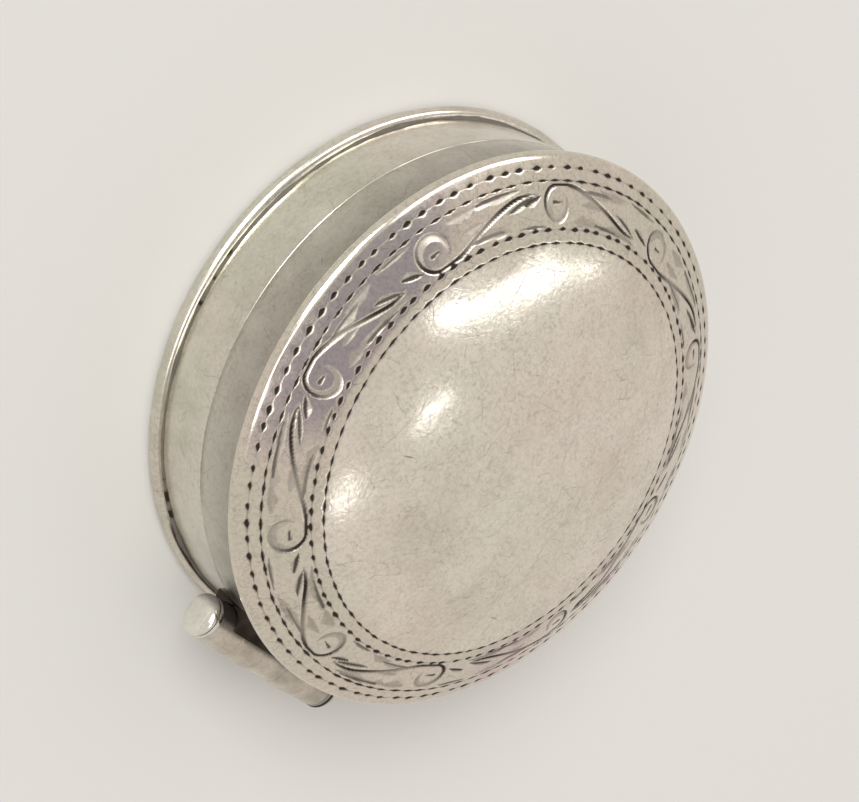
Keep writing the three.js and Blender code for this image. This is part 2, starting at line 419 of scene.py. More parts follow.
def silver(name, clean, aged, roughness, spread=(1, 1, 1), wear=1.0, seed=0.0):
    """Old polished silver: cloudy colour, hairline scratches, fine grain, and dark grime and painted shade where
    the mesh says so. clean and aged are its two colours."""
    material = bpy.data.materials.new(name)
    material.use_nodes = True
    tree = material.node_tree
    shader = tree.nodes["Principled BSDF"]
    shader.inputs["Specular IOR Level"].default_value = TARNISH_SHINE
    place = millimetres(tree)
    grime, border, rose_reflection = (attribute(tree, key) for key in ("grime", "border", "rose_reflection"))

    clouds = cloud(tree, place, 3.2, 4, 0.55, seed)
    blotches = cloud(tree, place, 0.7, 5, 0.65, seed + 20)
    speckle = cloud(tree, place, 0.12, 2, 0.6, seed + 30)
    grain = cloud(tree, place, 0.13, 2, 0.5, seed + 40)
    veins = fine_veins(tree, place, seed)
    nicks = hairlines(tree, place, 5.0, 0.05, spread, seed + 17, 0.03, 0.09)
    scratches = scratched(tree, wavered(tree, place), spread, seed)

    # Clouds and blotches of tarnish, and the border darker still: partly its tarnish, partly painted shade for the
    # darker surroundings that it reflects
    age_and_shade = total(tree, (0.62, clouds), (0.38, blotches), (0.20, border))
    colour = mixed_colour(tree, ramp(tree, age_and_shade, 0.38, 0.68), (*clean, 1), (*aged, 1))
    tints = ramp(tree, cloud(tree, place, 4.5, 2, 0.5, seed + 70), 0.38, 0.62)
    tint = mixed_colour(tree, tints, WARM_TINT, COOL_TINT)
    colour = multiplied(tree, colour, tint)
    worn = total(tree, (0.34 * wear, scratches), (0.14 * wear, veins), (0.6 * wear, nicks))
    pits = total(tree, (1.0, worn), (0.13 * wear, ramp(tree, speckle, 0.35, 0.72)))
    colour = mixed_colour(tree, pits, colour, TARNISH_AND_SHADE)
    # Painted reflection: pink patches where the mesh's layer says so
    colour = mixed_colour(tree, maths(tree, "MULTIPLY", rose_reflection, 0.5), colour, ROSE)
    # The mesh's grime layer darkens the colour towards near black: real tarnish, and painted shade where the mesh
    # puts it
    colour = mixed_colour(tree, grime, colour, TARNISH_AND_SHADE)
    tree.links.new(colour, shader.inputs["Base Color"])

    rough = ramp(tree, blotches, 0.3, 0.75, roughness * 0.8, roughness * 1.25)
    rough = total(tree, (1.0, rough), (0.08 * wear, scratches), (0.55, grime))
    tree.links.new(rough, shader.inputs["Roughness"])
    tree.links.new(ramp(tree, grime, 0.2, 1, 1, 0.05), shader.inputs["Metallic"])

    grooves = ((-0.3 * wear, scratches), (-0.2 * wear, veins))
    height = total(tree, (1.0, grain), (0.4, blotches), *grooves)
    height = maths(tree, "MULTIPLY", height, ramp(tree, border, 0, 1, 1, 0.4))
    values = {"Strength": 1.0, "Distance": BUMP_HEIGHT * MM * wear, "Height": height}
    bump = add(tree, "ShaderNodeBump", values)
    tree.links.new(bump.outputs[0], shader.inputs["Normal"])
    return material


# ---- The lid's engraved cover ----

COVER_ANGLES = 1216
SCROLL_INNER, SCROLL_OUTER = 13.33, 15.50
SCROLL_MIDDLE = (SCROLL_INNER + SCROLL_OUTER) / 2

edge_centre_height = LID_RIM_BOTTOM + EDGE_RADIUS
border_reach = BORDER_SPHERE_RADIUS - EDGE_RADIUS
border_slope = math.asin((RIM_RADIUS - EDGE_RADIUS) / border_reach)
border_sphere_height = edge_centre_height - border_reach * math.cos(border_slope)
BORDER_RADIUS = BORDER_SPHERE_RADIUS * math.sin(border_slope)


def border_height(radius):
    """The height of the sphere that the border lies on."""
    return border_sphere_height + np.sqrt(BORDER_SPHERE_RADIUS**2 - radius**2)


def dome_height(radius):
    """The height of the flatter sphere that the dome lies on."""
    rise = APEX_HEIGHT - border_height(DOME_RADIUS)
    sphere_radius = (DOME_RADIUS**2 + rise**2) / (2 * rise)
    return APEX_HEIGHT - sphere_radius + np.sqrt(sphere_radius**2 - radius**2)


CREASE_BLEND = 0.03


def cover_height(radius):
    """The lower of the border's sphere and the dome's, with the crease between them softened."""
    border, dome = border_height(radius), dome_height(radius)
    overlap = np.maximum(CREASE_BLEND - abs(border - dome), 0)
    return np.minimum(border, dome) - overlap**2 / (4 * CREASE_BLEND)


# The zones that the border's mesh is made of, from its edge inwards: the radius that each starts at
# and its longest step. The steps are short where a ring of marks is punched.
BORDER_ZONES = (
    (BORDER_RADIUS, 0.13),
    (16.42, 0.045),
    (16.10, 0.11),
    (15.77, 0.045),
    (SCROLL_OUTER, 0.066),
    (SCROLL_INNER, 0.045),
    (13.08, 0.11),
    (12.68, 0.045),
)
BORDER_END = 12.38


def border_rows():
    """The radii of the border's rows of points."""
    rows = []
    ends = [start for start, _ in BORDER_ZONES[1:]] + [BORDER_END]
    for (start, step), end in zip(BORDER_ZONES, ends):
        count = math.ceil(abs(end - start) / step)
        rows.append(np.linspace(start, end, count, endpoint=False))
    return np.concatenate(rows)


# How deep each point of the border is, and how dark it is with grime and with painted shade, which carve fills in
ROW_RADII = border_rows()
cut_depth = np.zeros((len(ROW_RADII), COVER_ANGLES))
cut_grime = np.zeros((len(ROW_RADII), COVER_ANGLES))


def nearest_on_path(points, path):
    """For each point: its distance from the path, the side it is on, 1 for the left, and how far
    along the path it is, counted in path points."""
    start, step = path[:-1], np.diff(path, axis=0)
    offset = points[:, None] - start
    share = np.clip((offset * step).sum(2) / (step**2).sum(1), 0, 1)
    gap = offset - share[..., None] * step
    distance = np.hypot(gap[..., 0], gap[..., 1])
    nearest = distance.argmin(1)
    rows = np.arange(len(points))
    offset = offset[rows, nearest]
    side = np.sign(step[nearest, 0] * offset[:, 1] - step[nearest, 1] * offset[:, 0])
    return distance[rows, nearest], side, nearest + share[rows, nearest]


# How far grime spreads from the bottom of a cut, how far it does in a punched mark, and how dark the faces of a
# cut are painted: painted shade, standing in for the darker surroundings that the slanted faces reflect
DARK_WIDTH = 0.19
MARK_WIDTH = 0.4
FACE_SHADE = 0.42


def carve(angle, radius, turn, path, left, right, depth, grime, dark_width=DARK_WIDTH):
    """A graver's cut with a V section. Its path is in millimetres from the point at angle and radius: along the
    border, and outwards if turn is 1 or inwards if it is -1. left and right are the widths of its two faces, and
    they may differ from point to point, as may depth and grime. The grime lies within dark_width of the bottom of
    the cut, and painted shade darkens the faces of the cut over their whole width."""
    path = np.asarray(path, float)
    reach = max(np.max(left), np.max(right))
    spin = 1 / (radius * 2 * math.pi / COVER_ANGLES)
    centre = math.radians(angle) / (2 * math.pi) * COVER_ANGLES
    first = math.floor(centre + (path[:, 0].min() - reach) * spin)
    last = math.ceil(centre + (path[:, 0].max() + reach) * spin)
    outward = turn * (ROW_RADII - radius)
    near = (outward > path[:, 1].min() - reach) & (outward < path[:, 1].max() + reach)
    rows, columns = np.flatnonzero(near), np.arange(first, last + 1)
    along, across = np.meshgrid((columns - centre) / spin, outward[rows])
    grid = np.stack([along.ravel(), across.ravel()], 1)
    distance, side, share = nearest_on_path(grid, path)

    def at(values):
        values = np.broadcast_to(values, len(path))
        return np.interp(share, np.arange(len(path)), values)

    width = np.maximum(np.where(side > 0, at(left), at(right)), 1e-3)
    slope = np.clip(1 - distance / width, 0, 1)
    dark = at(grime) * soft_step(2.2 * (1 - distance / np.minimum(width, dark_width)))
    # Painted shade over the whole of each face of the cut
    dark = np.maximum(dark, FACE_SHADE * (0.6 + 0.4 * slope) * soft_step(slope * 6))
    cells = np.ix_(rows, columns % COVER_ANGLES)
    shape = along.shape
    cut_depth[cells] = np.maximum(cut_depth[cells], (at(depth) * slope).reshape(shape))
    cut_grime[cells] = np.maximum(cut_grime[cells], dark.reshape(shape))


def smooth_path(corners, steps=6):
    """A Catmull-Rom curve through the corners."""
    corners = np.asarray(corners, float)
    ends = [2 * corners[0] - corners[1], *corners, 2 * corners[-1] - corners[-2]]
    points = []
    for before, start, end, after in zip(ends, ends[1:], ends[2:], ends[3:]):
        for share in np.arange(steps) / steps:
            straight = 2 * start + (end - before) * share
            bend = (2 * before - 5 * start + 4 * end - after) * share**2
            twist = (3 * start - before - 3 * end + after) * share**3
            points.append((straight + bend + twist) / 2)
    points.append(corners[-1])
    return np.array(points)


def swell(count, *widths):
    """Widths at even distances along a path, spread over count points."""
    return np.interp(np.linspace(0, 1, count), np.linspace(0, 1, len(widths)), widths)


LEAF_POINTS = 9


def leaf(angle, radius, turn, start, end, left, right, depth, grime):
    """A straight cut between two points, pointed at both ends unless its widths say otherwise."""
    path = np.linspace(start, end, LEAF_POINTS)
    left, right, depth = (swell(LEAF_POINTS, *values) for values in (left, right, depth))
    carve(angle, radius, turn, path, left, right, depth, grime)


def drop_mark(angle, radius, half, size):
    """A punched drop in the middle of a shallow lozenge."""
    width = 0.12 * size
    edge = (0, width, 0)
    leaf(angle, radius, 1, (-half, 0), (half, 0), edge, edge, (0, 0.007, 0), 0.6)
    pit = 0.20 * size
    path = [(-pit, 0.01), (-pit * 0.4, 0.02), (pit * 0.5, 0), (pit * 1.4, -0.02)]
    widths = np.array([0.10, 0.17, 0.135, 0.0]) * size
    depths = np.array([0.03, 0.05, 0.04, 0])
    carve(angle - 0.35, radius, 1, path, widths, widths, depths, 1.0, MARK_WIDTH)


def dash_mark(angle, radius, half, size):
    """A punched dash with pointed ends."""
    width = 0.125 * size
    path = np.linspace((-half, 0), (half, 0), LEAF_POINTS)
    widths = swell(LEAF_POINTS, 0.02, 0.6 * width, width, 0.6 * width, 0.02)
    carve(angle, radius, 1, path, widths, widths, widths * 0.25, 1.0, MARK_WIDTH)


# The punched rings: radius, number of marks, the angle of the first one and its shape
PUNCHED_RINGS = (
    (16.26, 95, 0.0, drop_mark),
    (15.63, 98, 1.1, dash_mark),
    (13.22, 91, 0.6, drop_mark),
    (12.55, 90, 2.3, dash_mark),
)
MARK_SHARE = 0.45


def punched_rings(random):
    """Two rings of drops and two of dashes, each on a thin line."""
    for radius, count, phase, mark in PUNCHED_RINGS:
        pitch = 360 / count
        length = math.radians(pitch) * radius
        for index in range(count):
            angle = (index + random.uniform(-0.13, 0.13)) * pitch + phase
            place = radius + random.normal(0, 0.012)
            size = random.uniform(0.85, 1.12)
            mark(angle, place, length * MARK_SHARE * size, size)
        line = np.linspace(0, 2 * math.pi * radius, count * 2)
        path = np.stack([line, random.normal(0, 0.006, len(line))], 1)
        carve(0, radius, 1, path, 0.03, 0.03, 0.004, 0.4)


# The middle of each scroll, in degrees from +X. They hang from the outer ring and stand on the inner
# one in turn.
SCROLL_ANGLES = (13.5, 48.5, 82.5, 117.5, 156.5, 192.5, 234.5, 269.5, 305.5, 338.5)

# Where the long stem of a scroll runs, in millimetres from its middle and from the ring it stands on
STEM = ((-7, 1.71), (-6.3, 1.71), (-5.3, 1.54), (-4, 1.08), (-2.76, 0.61), (-1.5, 0.20), (-0.75, 0.07))
USUAL_PITCH = 35.5

# The curl that the stem ends in: its middle, the angles that it starts and ends at, and its radius
CURL_MIDDLE = (0.1, 1.05)
CURL_START, CURL_SWEEP = -98, 306
CURL_RADIUS, CURL_TIGHTENING = 0.985, 0.16
CURL_POINTS = 26

# Along the stem and along the curl: the widths of the cut's two faces, its depth and its grime
INNER_WIDTHS = (
    (0, 0.10, 0.20, 0.24, 0.22, 0.22, 0.20, 0.16),
    (0.14, 0.16, 0.24, 0.36, 0.42, 0.42, 0.38, 0.32, 0.24, 0.06),
)
OUTER_WIDTHS = (
    (0, 0.07, 0.09, 0.09, 0.07, 0.07, 0.09, 0.08),
    (0.08, 0.09, 0.10, 0.10, 0.08, 0.07, 0.07, 0.07, 0.06, 0.02),
)
SCROLL_DEPTHS = (
    (0, 0.05, 0.09, 0.10, 0.08, 0.08, 0.09, 0.08),
    (0.08, 0.09, 0.09, 0.08, 0.07, 0.065, 0.065, 0.06, 0.05, 0.01),
)
SCROLL_GRIME = (
    (0.3, 0.9, 1, 1, 0.75, 0.6, 0.9, 1),
    (1, 1, 1, 0.9, 0.7, 0.5, 0.45, 0.5, 0.5, 0.3),
)

# The small cuts round a scroll. Each has a start and an end, in degrees from the scroll's middle and
# in millimetres from its ring, the widths of its left and right faces, its depths and its grime.
SMALL_CUTS = (
    # The punch inside the curl, and the second line beside the stem
    ((-1.4, 0.98), (1.3, 0.92), (0, 0.10, 0.16), (0, 0.08, 0.12), (0, 0.03, 0.04), 0.9),
    ((-27, 1.69), (-18.8, 1.02), (0, 0.08, 0.08, 0), (0, 0.20, 0.26, 0), (0, 0.06, 0.06, 0), 0.9),
    # Leaves along the far ring
    ((-23.5, 2.10), (-12.6, 2.02), (0, 0.05, 0.06, 0.04), (0, 0.14, 0.22, 0.28), (0, 0.05, 0.06, 0.05), 0.85),
    ((-10.5, 1.95), (-5.2, 1.90), (0.06, 0.20, 0.08), (0.08, 0.50, 0.14), (0.01, 0.03, 0.01), 0.35),
    ((4, 2.06), (13, 2.10), (0, 0.06, 0.05, 0), (0, 0.16, 0.14, 0), (0, 0.05, 0.04, 0), 0.8),
    ((14.5, 2.06), (22, 2.02), (0, 0.09, 0.08, 0), (0.08, 0.46, 0.38, 0.08), (0.01, 0.035, 0.03, 0.01), 0.35),
    # Leaves along the near ring
    ((-17.8, 0.30), (-7.2, 0.33), (0, 0.42, 0.28, 0), (0, 0.06, 0.06, 0), (0, 0.05, 0.05, 0), 0.75),
    ((4.5, 0.52), (9.4, 0.92), (0, 0.16, 0.36, 0.20), (0, 0.09, 0.10, 0.03), (0, 0.06, 0.07, 0.02), 0.95),
    ((9, 0.10), (21, 0.22), (0, 0.30, 0.44, 0), (0, 0.07, 0.07, 0), (0, 0.04, 0.04, 0), 0.55),
    ((22.3, 0.20), (26.6, 0.22), (0.08, 0.44, 0.16), (0.05, 0.12, 0.05), (0.01, 0.03, 0.01), 0.35),
    ((22, 1.05), (27, 1.10), (0.08, 0.42, 0.16), (0.05, 0.12, 0.05), (0.01, 0.03, 0.01), 0.3),
)


def shifted(random, x, y, along, across):
    """A point moved a little at random, by up to along in x and across in y."""
    return x + random.uniform(-along, along), y + random.uniform(-across, across)


def scroll(angle, pitch, turn, random):
    """One stem that ends in a curl, with the leaves and wedges round it."""
    ring = SCROLL_INNER if turn > 0 else SCROLL_OUTER
    stretch = pitch / USUAL_PITCH
    degree = math.radians(1) * SCROLL_MIDDLE * stretch

    stem = smooth_path([shifted(random, x * stretch, y, 0.04, 0.025) for x, y in STEM])
    middle = np.array(shifted(random, *CURL_MIDDLE, 0.04, 0.03))
    curl = []
    for share in np.linspace(0, 1, CURL_POINTS):
        turned_by = math.radians(CURL_START + CURL_SWEEP * share)
        reach = CURL_RADIUS - CURL_TIGHTENING * share
        curl.append(middle + reach * np.array([math.cos(turned_by), math.sin(turned_by)]))

    def along(values):
        on_stem, on_curl = values
        return np.concatenate([swell(len(stem), *on_stem), swell(len(curl), *on_curl)])

    inner, outer = along(INNER_WIDTHS), along(OUTER_WIDTHS)
    path = np.vstack([stem, curl])
    carve(angle, ring, turn, path, inner, outer, along(SCROLL_DEPTHS), along(SCROLL_GRIME))

    for start, end, left, right, depth, grime in SMALL_CUTS:
        places = [shifted(random, x * degree, y, 0.05, 0.04) for x, y in (start, end)]
        size = random.uniform(0.85, 1.15)
        left, right, depth = (np.array(values) * size for values in (left, right, depth))
        leaf(angle, ring, turn, *places, left, right, depth, grime)


def engrave():
    """The whole border: the punched rings, then the scrolls between them."""
    random = np.random.default_rng(11)
    punched_rings(random)
    previous = SCROLL_ANGLES[-1] - 360
    turn = -1
    for angle in SCROLL_ANGLES:
        scroll(angle, angle - previous, turn, random)
        previous = angle
        turn = -turn


def uneven(rings, amount, size, seed):
    """Rings with their heights moved a little, so that reflections waver."""
    moved = []
    for ring in rings:
        ring = ring.copy()
        ring[:, 2] += amount * noise(ring * (1, 1, 0), size, seed)
        moved.append(ring)
    return moved


def spot(points, angle, spread):
    """A patch on the border, 1 in its middle, with its angle and spread in degrees."""
    angles = np.degrees(np.arctan2(points[:, 1], points[:, 0]))
    gap = (angles - angle + 180) % 360 - 180
    uneven_edge = 1 + 0.5 * noise(points, 0.6, round(angle))
    return np.clip(uneven_edge * np.exp(-((gap / spread) ** 2)), 0, 1)


# Rows of points over the dome and inside it: the radii that each zone starts and ends at, its number
# of rows and how many times fewer points they have than a row of the border
DOME_ZONES = (
    (0.3, 2.0, 5, 32),
    (2.4, 4.2, 5, 16),
    (4.6, 7.2, 7, 8),
    (7.6, 10.6, 8, 4),
    (11.0, 12.3, 5, 2),
)
HOLLOW_ZONES = (
    (14.8, 6.5, 14, 8),
    (6.0, 1.0, 8, 16),
)


def cover_rings(zones, thickness):
    """Rings that follow the cover's top, this far below it."""
    rings = []
    for start, end, rows, thinning in zones:
        for radius in np.linspace(start, end, rows):
            height = cover_height(radius) - thickness
            rings.append(circle(radius, height, COVER_ANGLES // thinning))
    return rings


def cover_top():
    """Rings from the middle of the dome to the rim, and the grime and painted shade on their points."""
    rings = cover_rings(DOME_ZONES, 0)
    grime = [np.zeros(len(ring)) for ring in rings]
    for radius, depths, dirt_and_shade in zip(ROW_RADII[::-1], cut_depth[::-1], cut_grime[::-1]):
        rings.append(circle(radius, cover_height(radius) - depths, COVER_ANGLES))
        grime.append(dirt_and_shade)
    rings = uneven(rings, amount=0.009, size=3.6, seed=3)
    rings = uneven(rings, amount=0.0035, size=1.2, seed=4)
    return rings, grime


def cover_underside():
    """Rings round the rim's edge, under the rim, over the band's top and into the hollow."""
    rings = []
    edge = (RIM_RADIUS - EDGE_RADIUS, edge_centre_height)
    crest = 90 - math.degrees(border_slope)
    for radius, height in arc(edge, EDGE_RADIUS, crest - 10, -90, 10):
        rings.append(circle(radius, height, COVER_ANGLES // 2))
    rings.append(circle(RIM_FLAT_RADIUS + 0.15, LID_RIM_BOTTOM, COVER_ANGLES // 2))
    hollow = border_height(COVER_HOLLOW_RADIUS) - COVER_THICKNESS
    for radius, height in (
        (RIM_FLAT_RADIUS, LID_RIM_BOTTOM),
        (BAND_INNER_RADIUS + 0.12, LID_RIM_BOTTOM),
        (BAND_INNER_RADIUS + 0.04, LID_RIM_BOTTOM + 0.01),
        (BAND_INNER_RADIUS - 0.01, LID_RIM_BOTTOM + 0.07),
        (BAND_INNER_RADIUS - 0.05, LID_RIM_BOTTOM + 0.2),
        (COVER_HOLLOW_RADIUS + 0.06, hollow - 0.2),
        (COVER_HOLLOW_RADIUS, hollow - 0.06),
        (COVER_HOLLOW_RADIUS - 0.08, hollow),
        (COVER_HOLLOW_RADIUS - 0.25, hollow + 0.06),
    ):
        rings.append(circle(radius, height, COVER_ANGLES // 4))
    return rings + cover_rings(HOLLOW_ZONES, COVER_THICKNESS)


# Where the border's look starts and how softly
BORDER_START, BORDER_FADE = 12.3, 0.5


def make_cover(material):
    """The lid's cover: engraved border, plain dome, rounded rim and the hollow under them."""
    engrave()
    top, grime = cover_top()
    under = cover_underside()
    top_tip = top[0].mean(0) + (0, 0, 0.001)
    points, faces = ring_stack(top + under, top_tip, (0, 0, APEX_HEIGHT - COVER_THICKNESS))
    dark = np.concatenate([*grime, *[np.zeros(len(ring)) for ring in under], [0, 0]])
    radii = np.hypot(points[:, 0], points[:, 1])
    border = soft_step((radii - BORDER_START) / BORDER_FADE)
    # Two pink patches on the border: a painted reflection of something pinkish beside the box
    strong, weak = spot(points, angle=142, spread=9), spot(points, angle=174, spread=4)
    rose_reflection = border * strong + 0.7 * border * weak
    layers = {"grime": dark, "border": border, "rose_reflection": rose_reflection}
    points = hand_made(points, amount=0.012, size=7, seed=21)
    replace_node("lid_cover", points, faces, material, "cover_silver", **layers)


# ---- Bands, plate and collar ----

RING_COUNT = 360

# The dark part of a band beside the hinge, painted shade in the gap behind the barrel with some tarnish: how far
# it starts in front of the hinge's axis, how far it reaches to each side and how softly it ends there
SHADE_AND_TARNISH_DEPTH, SHADE_AND_TARNISH_DEPTH_FADE = 1.9, 0.9
SHADE_AND_TARNISH_REACH, SHADE_AND_TARNISH_REACH_FADE = 6.6, 1.4


def make_band(node, low_edge, high_edge, rim_shade, material, seed):
    """low_edge and high_edge are the radii of the rounding on its outer corners. rim_shade is how much painted
    shade darkens it, more towards its top, under the rim. Beside the barrel it is painted dark: shade in the gap,
    with some tarnish."""
    low, high = node_box(node)
    corners = [
        (BAND_INNER_RADIUS, low[2], 0.05),
        (BAND_RADIUS, low[2], low_edge),
        (BAND_RADIUS, high[2], high_edge),
        (BAND_INNER_RADIUS, high[2], 0.05),
    ]
    points, faces = turned(subdivided(rounded(corners), 0.35), RING_COUNT)
    points = clear_of_barrel(hand_made(points, amount=0.012, size=5, seed=seed))
    across, behind, above = points[:, 0], points[:, 1], points[:, 2]
    # Painted shade, with some tarnish, beside the barrel
    near_axis = soft_step((behind - (HINGE_Y - SHADE_AND_TARNISH_DEPTH)) / SHADE_AND_TARNISH_DEPTH_FADE)
    near_hinge = near_axis * soft_step((SHADE_AND_TARNISH_REACH - abs(across)) / SHADE_AND_TARNISH_REACH_FADE)
    near_ends = soft_step(1 - (above - low[2]) / 0.09) + soft_step(1 - (high[2] - above) / 0.06)
    uneven_dirt = soft_step(0.5 + 0.6 * noise(points, 1.2, seed + 1))
    # Painted shade under the rim, stronger towards the top
    under_rim = rim_shade * (0.45 + 0.55 * soft_step((above - low[2]) / (high[2] - low[2])))
    grime = np.clip(near_hinge + 0.5 * near_ends * uneven_dirt + under_rim, 0, 1)
    replace_node(node, points, faces, material, "band_silver", grime=grime)


def make_plate(material):
    """The floor plate: flat underside, rounded rim and the step down to the floor inside."""
    underside = [(radius, 0) for radius in (0, 4, 8, 12, 15, RIM_FLAT_RADIUS)]
    edge = arc((RIM_RADIUS - EDGE_RADIUS, EDGE_RADIUS), EDGE_RADIUS, -90, 90, 14)
    step = [
        (RIM_FLAT_RADIUS, RIM_THICKNESS),
        (FLOOR_RADIUS + 0.26, RIM_THICKNESS),
        (FLOOR_RADIUS + 0.2, RIM_THICKNESS - 0.02),
        (FLOOR_RADIUS + 0.03, FLOOR_THICKNESS + 0.03),
        (FLOOR_RADIUS - 0.05, FLOOR_THICKNESS),
        (FLOOR_RADIUS - 0.3, FLOOR_THICKNESS),
    ]
    inside = [(radius, FLOOR_THICKNESS) for radius in (12, 8, 4, 0)]
    points, faces = turned_solid([*underside, *edge, *step, *inside], RING_COUNT)
    points = hand_made(points, amount=0.018, size=6, seed=31)
    corner = 1 - abs(np.hypot(points[:, 0], points[:, 1]) - FLOOR_RADIUS) / 0.3
    grime = 0.5 * soft_step(corner) * (points[:, 2] > FLOOR_THICKNESS / 2)
    replace_node("base_plate", points, faces, material, "band_silver", grime=grime)


def make_collar(material):
    """The ring inside the base, a little slimmer where the lid closes over it."""
    outer = BAND_INNER_RADIUS - COLLAR_CLEARANCE
    inner = COLLAR_RADIUS - COLLAR_THICKNESS
    corners = [
        (inner, RIM_THICKNESS, 0.04),
        (COLLAR_RADIUS, RIM_THICKNESS, 0.04),
        (COLLAR_RADIUS, SEAM_BOTTOM - COLLAR_CLEARANCE, 0),
        (outer, SEAM_BOTTOM, 0),
        (outer, COLLAR_TOP - COLLAR_CHAMFER, 0.06),
        (outer - COLLAR_CHAMFER, COLLAR_TOP, 0.06),
        (inner, COLLAR_TOP, 0.06),
    ]
    points, faces = turned(subdivided(rounded(corners), 0.4), RING_COUNT)
    points = hand_made(points, amount=0.008, size=4, seed=41)
    grime = 0.5 * soft_step(1 - abs(points[:, 2] - SEAM_BOTTOM) / 0.15)
    replace_node("inner_collar", points, faces, material, "collar_silver", grime=grime)


SOLDER_COUNT = 720

# The hollow section of a line of solder, as shares of its width: out from the band, up from the rim
SOLDER_SECTION = (
    (-0.04, -0.04),
    (1, -0.04),
    (0.95, 0.06),
    (0.5, 0.22),
    (0.22, 0.5),
    (0.06, 0.95),
    (-0.04, 1),
)


def make_solder(name, body, height, side, width, dirt_and_shade, material, seed):
    """The uneven line of solder in the corner between a band and its rim."""
    around = circle(BAND_RADIUS, 0, SOLDER_COUNT)
    size = width * (1 + 0.25 * noise(around, 1.6, seed) + 0.15 * noise(around, 0.5, seed + 1))
    size = np.clip(size, 0.4 * width, 1.6 * width)
    rings = []
    for out, up in SOLDER_SECTION:
        rings.append(circle(BAND_RADIUS + out * size, height + side * up * size, SOLDER_COUNT))
    points, faces = ring_tube(rings)
    pitted = soft_step(0.9 * noise(points, 0.4, seed + 2) + 0.7 * noise(points, 3, seed + 3) - 0.5)
    make_piece(name, points, faces, material, body, "band_silver", grime=np.maximum(dirt_and_shade, pitted))


# ---- The hinge ----

KNUCKLES = (
    "base_knuckle_left",
    "lid_knuckle_left",
    "base_knuckle_centre",
    "lid_knuckle_right",
    "base_knuckle_right",
)
BARREL_COUNT = 96

# How much longer a knuckle is at each end than its CAD solid, how far the barrel swells from its ends
# to its middle, and how much slimmer its ends are than the CAD solids
KNUCKLE_GROWTH = 0.018
BARREL_CROWN = 0.12
BARREL_TAPER = 0.10


def make_knuckle(node, material, seed):
    """One tube of the barrel, with dirt at its ends, painted shade on the side that faces the box, and tarnish
    with painted shade towards the far end.
    """
    low, high = node_box(node)
    start, end = low[0] - KNUCKLE_GROWTH, high[0] + KNUCKLE_GROWTH
    corners = [
        (PIN_BORE_RADIUS, start, 0.03),
        (KNUCKLE_RADIUS, start, 0.02),
        (KNUCKLE_RADIUS, end, 0.02),
        (PIN_BORE_RADIUS, end, 0.03),
    ]
    points, faces = turned(subdivided(rounded(corners), 0.25), BARREL_COUNT)
    crown = BARREL_CROWN * (1 - (points[:, 2] / BARREL_HALF_LENGTH) ** 2) - BARREL_TAPER
    outside = np.hypot(points[:, 0], points[:, 1]) > 2 * PIN_BORE_RADIUS
    points[:, :2] *= (1 + crown * outside / KNUCKLE_RADIUS)[:, None]
    points = hand_made(points, amount=0.006, size=0.9, seed=seed)
    at_end = 1 - np.minimum(points[:, 2] - start, end - points[:, 2]) / 0.03
    dirt_and_shade = soft_step(0.4 + 0.6 * noise(points, 0.6, seed + 1))
    points = along_hinge(points)
    # Painted shade on the side that faces the box, where the gap behind the barrel lies
    towards_box = soft_step((HINGE_Y + 0.1 - points[:, 1]) / 0.8)
    # Darker towards the far end: brown tarnish and painted shade together
    far_shade_and_tarnish = 0.22 * soft_step(0.5 + 0.7 * noise(points, 1.5, 7)) * soft_step((4 - points[:, 0]) / 5)
    grime = np.clip(0.2 * soft_step(at_end) * dirt_and_shade + 0.97 * towards_box + far_shade_and_tarnish, 0, 1)
    replace_node(node, points, faces, material, "hinge_silver", grime=grime)


BEAD_RADIUS = 1.25
BEAD_LENGTH = 0.56

# The outline of a cap from the barrel to the groove behind its bead: radius, and distance from the
# start of the CAD solid
CAP_COLLAR = (
    (0, -0.015),
    (0.7, -0.015),
    (1.20, -0.015),
    (1.235, 0.01),
    (1.24, 0.12),
    (1.225, 0.22),
    (1.19, 0.27),
    (1.14, 0.30),
    (1.13, 0.33),
)
GROOVE_PLACE = 0.32


def make_cap(node, side, dirt_and_shade, material, seed):
    """A bead on the end of the barrel, with a narrow groove behind it."""
    low, high = node_box(node)
    start = low[0] if side > 0 else -high[0]
    end = high[0] if side > 0 else -low[0]
    outline = [(radius, start + along) for radius, along in CAP_COLLAR]
    bead = end - BEAD_LENGTH
    for turned_by in np.radians(np.linspace(-14, 86, 20)):
        outline.append((BEAD_RADIUS * math.cos(turned_by), bead + BEAD_LENGTH * math.sin(turned_by)))
    outline.append((0, end))
    points, faces = turned_solid(outline, BARREL_COUNT)
    points = hand_made(points, amount=0.012, size=0.8, seed=seed)
    in_groove = soft_step(1.4 - abs(points[:, 2] - start - GROOVE_PLACE) / 0.07)
    in_gap = 0.3 * soft_step(1 - (points[:, 2] - start) / 0.05)
    points[:, 2] *= side
    points = along_hinge(points)
    # Painted shade on the side towards the box
    towards_box = soft_step((HINGE_Y - 0.5 - points[:, 1]) / 0.6)
    dark = 0.9 * in_groove + in_gap + 0.8 * towards_box + dirt_and_shade
    replace_node(node, points, faces, material, "hinge_silver", grime=np.clip(dark, 0, 1))


